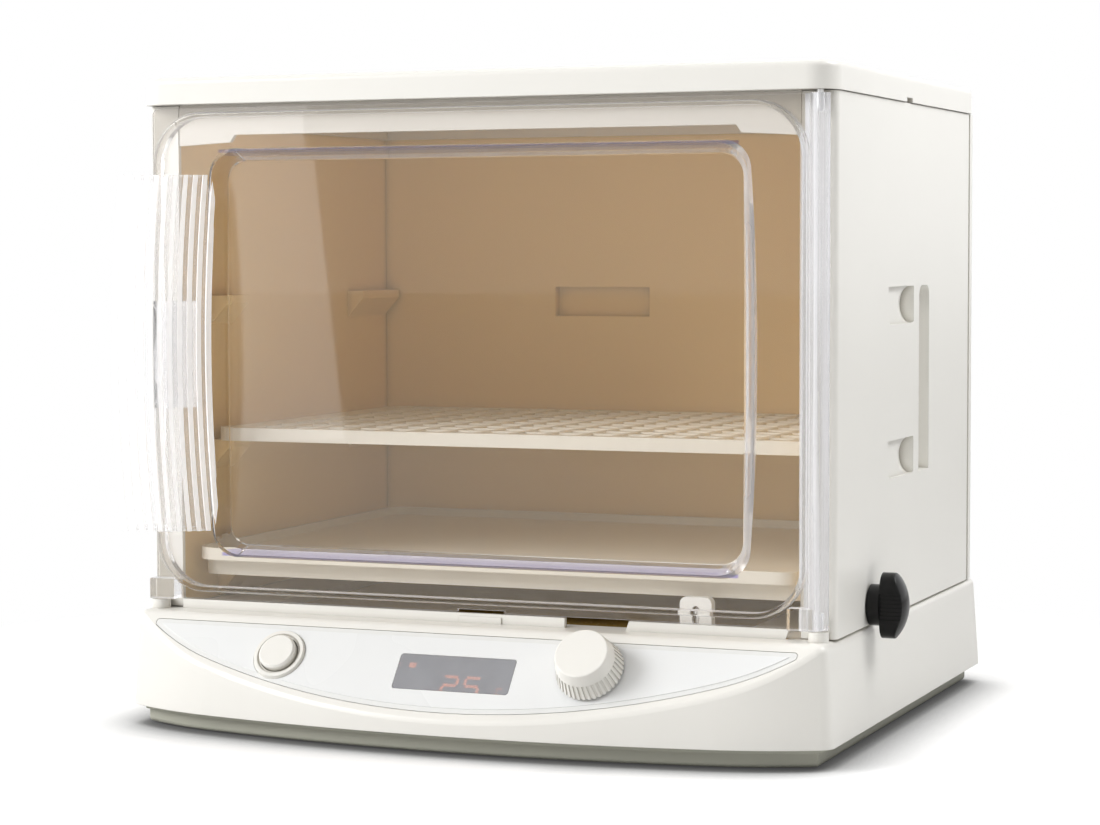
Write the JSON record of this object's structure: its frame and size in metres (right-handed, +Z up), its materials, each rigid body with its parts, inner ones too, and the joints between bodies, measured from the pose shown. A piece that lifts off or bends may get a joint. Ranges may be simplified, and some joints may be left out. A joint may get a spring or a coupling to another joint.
{
  "type": "folding dough proofer",
  "caption": "Countertop dough proofing cabinet: heated base with sloped control panel, folding side walls, lift-off lid, clear swing door with ribbed handle, shelves and a tray.",
  "frame": {"origin": "middle of the footprint, on the surface that the feet stand on", "axes": "+X to the object's right as seen from its front, over the lock knobs; +Y to the back; +Z up"},
  "size_m": [0.375, 0.306, 0.3065],
  "materials": {
    "white_plastic": "warm off-white, smooth satin gloss",
    "liner_plastic": "tan, fine matt grain",
    "olive_plastic": "olive grey, matt",
    "film": "thin satin film, slightly bluish",
    "dark_window": "smoked, glossy",
    "lit_segment": "glowing orange",
    "dark_module": "dark, matt",
    "board_green": "green circuit board",
    "steel": "plated steel",
    "heater_metal": "dark olive-brown speckled coating",
    "element_metal": "dark oxidised tube",
    "pan_metal": "bright sheet",
    "clear_plastic": "clear, polished, faint violet edges",
    "black_plastic": "black, glossy",
    "shelf_plastic": "cream, matt",
    "rubber": "soft dark rubber",
    "copper_winding": "varnished winding and core"
  },
  "bodies": {
    "base": {"base_housing": "white_plastic", "bottom_plate": "olive_plastic", "rubber_feet": "rubber", "bottom_screws": "steel", "control_panel": "white_plastic", "panel_film": "film", "display_window": "dark_window", "display_module": "dark_module", "display_digits": "lit_segment", "control_board": "board_green", "board_screws": "steel", "button_bezel": "white_plastic", "power_switch": "dark_module", "dial_bush": "black_plastic", "encoder_body": "dark_module", "heater_plate": "heater_metal", "heater_element": "element_metal", "element_clips": "steel", "thermal_cutout": "black_plastic", "reflector_pan": "pan_metal", "sensor_cover": "white_plastic", "temperature_sensor": "steel", "power_board": "board_green", "supply_screws": "steel", "transformer": "copper_winding", "relay": "dark_module", "capacitor": "dark_module", "cord_gland": "black_plastic", "right_wall_shell": "white_plastic", "left_wall_shell": "white_plastic", "right_wall_liner": "liner_plastic", "left_wall_liner": "liner_plastic", "back_wall_shell": "white_plastic", "back_wall_liner": "liner_plastic", "folding_pins": "steel", "lower_hinge_pin": "steel"},
    "button": {"power_button": "white_plastic"},
    "dial_push": {"encoder_plunger": "black_plastic"},
    "dial": {"dial_knob": "white_plastic", "dial_shaft": "steel"},
    "lid": {"lid_cover": "white_plastic", "lid_frame": "white_plastic", "lid_liner": "liner_plastic", "lid_screws": "steel"},
    "door": {"door_panel": "clear_plastic", "upper_hinge_pin": "steel", "door_handle": "clear_plastic", "handle_block": "white_plastic", "handle_screws": "steel"},
    "right_lock": {"right_lock_knob": "black_plastic", "right_lock_cam": "black_plastic"},
    "left_lock": {"left_lock_knob": "black_plastic", "left_lock_cam": "black_plastic"},
    "upper_shelf": {"upper_shelf": "shelf_plastic"},
    "lower_shelf": {"lower_shelf": "shelf_plastic"},
    "dough_tray": {"dough_tray": "shelf_plastic"}
  },
  "joints": [
    {"name": "lid_lift", "type": "slide", "parent": "base", "child": "lid", "axis": [0, 0, 1], "range_m": [0, 0.06]},
    {"name": "door_swing", "type": "hinge", "parent": "base", "child": "door", "pos_m": [0.1635, -0.111, 0.17], "axis": [0, 0, 1], "range_deg": [0, 110]},
    {"name": "right_lock_turn", "type": "hinge", "parent": "base", "child": "right_lock", "pos_m": [0.17, -0.0506, 0.064], "axis": [1, 0, 0], "range_deg": [0, 90]},
    {"name": "left_lock_turn", "type": "hinge", "parent": "base", "child": "left_lock", "pos_m": [-0.17, -0.0506, 0.064], "axis": [1, 0, 0], "range_deg": [0, 90]},
    {"name": "power_press", "type": "slide", "parent": "base", "child": "button", "axis": [0, 0.7738, -0.6334], "range_m": [0, 0.0018], "stiffness_N_per_m": 700, "springref_m": -0.001},
    {"name": "dial_press", "type": "slide", "parent": "base", "child": "dial_push", "axis": [0, 0.7738, -0.6334], "range_m": [0, 0.0008], "stiffness_N_per_m": 2000, "springref_m": -0.001},
    {"name": "dial_spin", "type": "hinge", "parent": "dial_push", "child": "dial", "pos_m": [0.066, -0.13341, 0.03943], "axis": [0, -0.7738, 0.6334], "continuous": true},
    {"name": "upper_shelf_slide", "type": "slide", "parent": "base", "child": "upper_shelf", "axis": [0, -1, 0], "range_m": [0, 0.025]},
    {"name": "lower_shelf_slide", "type": "slide", "parent": "base", "child": "lower_shelf", "axis": [0, -1, 0], "range_m": [0, 0.006]},
    {"name": "tray_slide", "type": "slide", "parent": "base", "child": "dough_tray", "axis": [0, -1, 0], "range_m": [0, 0.0035]}
  ]
}
